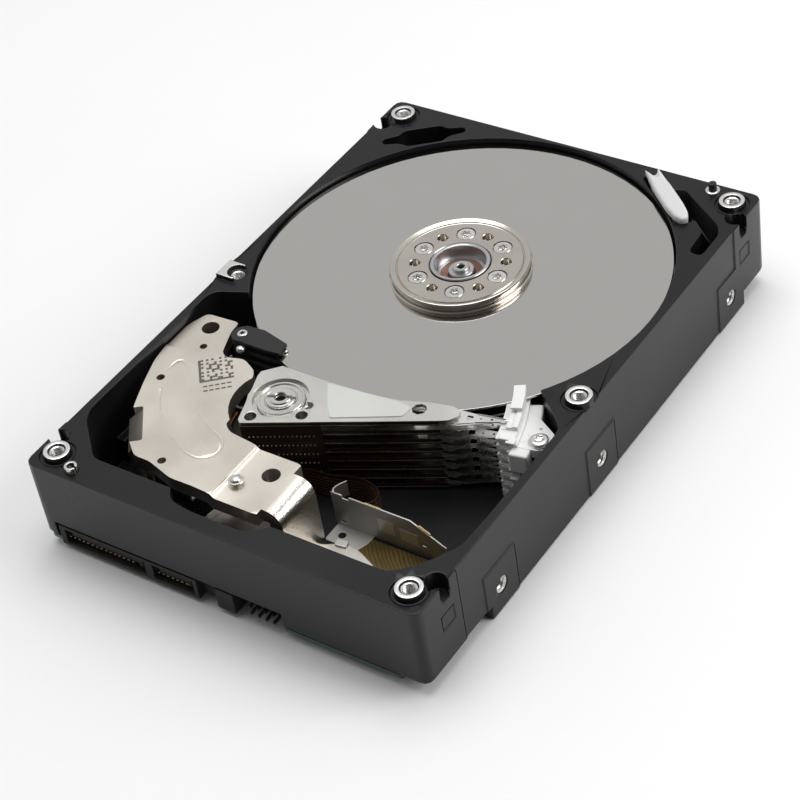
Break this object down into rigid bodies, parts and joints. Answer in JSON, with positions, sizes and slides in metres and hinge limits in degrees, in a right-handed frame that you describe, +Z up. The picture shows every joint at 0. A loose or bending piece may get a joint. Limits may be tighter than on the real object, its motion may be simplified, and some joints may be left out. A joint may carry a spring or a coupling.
{
  "type": "hard disk drive",
  "caption": "Open 3.5-inch hard disk drive: cast base, spindle with stacked disks, swinging head actuator, magnet yokes, parking ramp and circuit board.",
  "frame": {"origin": "middle of the drive's bottom, level with the bottom rails", "axes": "+X across the drive, +Y from the connector end to the spindle end, +Z up out of the open top"},
  "size_m": [0.1016, 0.147, 0.0261],
  "materials": {
    "casting": "satin black coating over cast aluminium",
    "disk": "mirror",
    "steel": "bright",
    "nickel": "nickel plated, satin",
    "clamp": "turned",
    "aluminium": "machined",
    "magnet": "nickel plated",
    "copper": "enamelled copper winding",
    "black_plastic": "moulded",
    "white_plastic": "moulded",
    "board": "solder mask",
    "flex": "polyimide film",
    "rubber": "matt",
    "cloth": "non-woven felt"
  },
  "bodies": {
    "base": {"base_casting": "casting", "circuit_board": "board", "data_connector": "black_plastic", "jumper_pins": "black_plastic", "spindle_shaft": "steel", "motor_stator": "copper", "pivot_shaft": "steel", "pivot_screw": "steel", "upper_yoke": "nickel", "lower_yoke": "nickel", "upper_magnet": "magnet", "lower_magnet": "magnet", "crash_stop": "rubber", "latch_pin": "steel", "airflow_spoiler": "black_plastic", "parking_ramp": "white_plastic", "ramp_screw": "steel", "filter_pouch": "cloth", "flex_bracket": "steel", "flex_loop": "flex", "front_pin": "steel", "back_pin": "black_plastic", "board_screw_1": "steel", "board_screw_2": "steel", "board_screw_3": "steel"},
    "rotor": {"spindle_hub": "aluminium", "rotor_magnet": "magnet", "disk_clamp": "clamp", "disk_1": "disk", "disk_2": "disk", "disk_3": "disk", "disk_4": "disk", "disk_5": "disk", "disk_6": "disk", "disk_7": "disk", "disk_spacer_1": "aluminium", "disk_spacer_2": "aluminium", "disk_spacer_3": "aluminium", "disk_spacer_4": "aluminium", "disk_spacer_5": "aluminium", "disk_spacer_6": "aluminium", "clamp_screw_1": "steel", "clamp_screw_2": "steel", "clamp_screw_3": "steel", "clamp_screw_4": "steel", "clamp_screw_5": "steel", "clamp_screw_6": "steel"},
    "actuator": {"arm_block": "aluminium", "pivot_sleeve": "steel", "voice_coil": "copper", "coil_frame": "black_plastic", "head_suspension_1": "steel", "head_suspension_2": "steel", "head_suspension_3": "steel", "head_suspension_4": "steel", "head_suspension_5": "steel", "head_suspension_6": "steel", "head_suspension_7": "steel", "head_suspension_8": "steel"},
    "latch": {"inertia_latch": "black_plastic"}
  },
  "joints": [
    {"name": "spindle_spin", "type": "hinge", "parent": "base", "child": "rotor", "pos_m": [-0.0005, 0.0235, 0.013], "axis": [0, 0, 1], "continuous": true},
    {"name": "actuator_swing", "type": "hinge", "parent": "base", "child": "actuator", "pos_m": [-0.0117, -0.0322, 0.0138], "axis": [0, 0, 1], "range_deg": [0, 40]},
    {"name": "latch_swing", "type": "hinge", "parent": "base", "child": "latch", "pos_m": [-0.003, -0.0663, 0.013], "axis": [0, 0, 1], "range_deg": [-3.6, 0]}
  ]
}
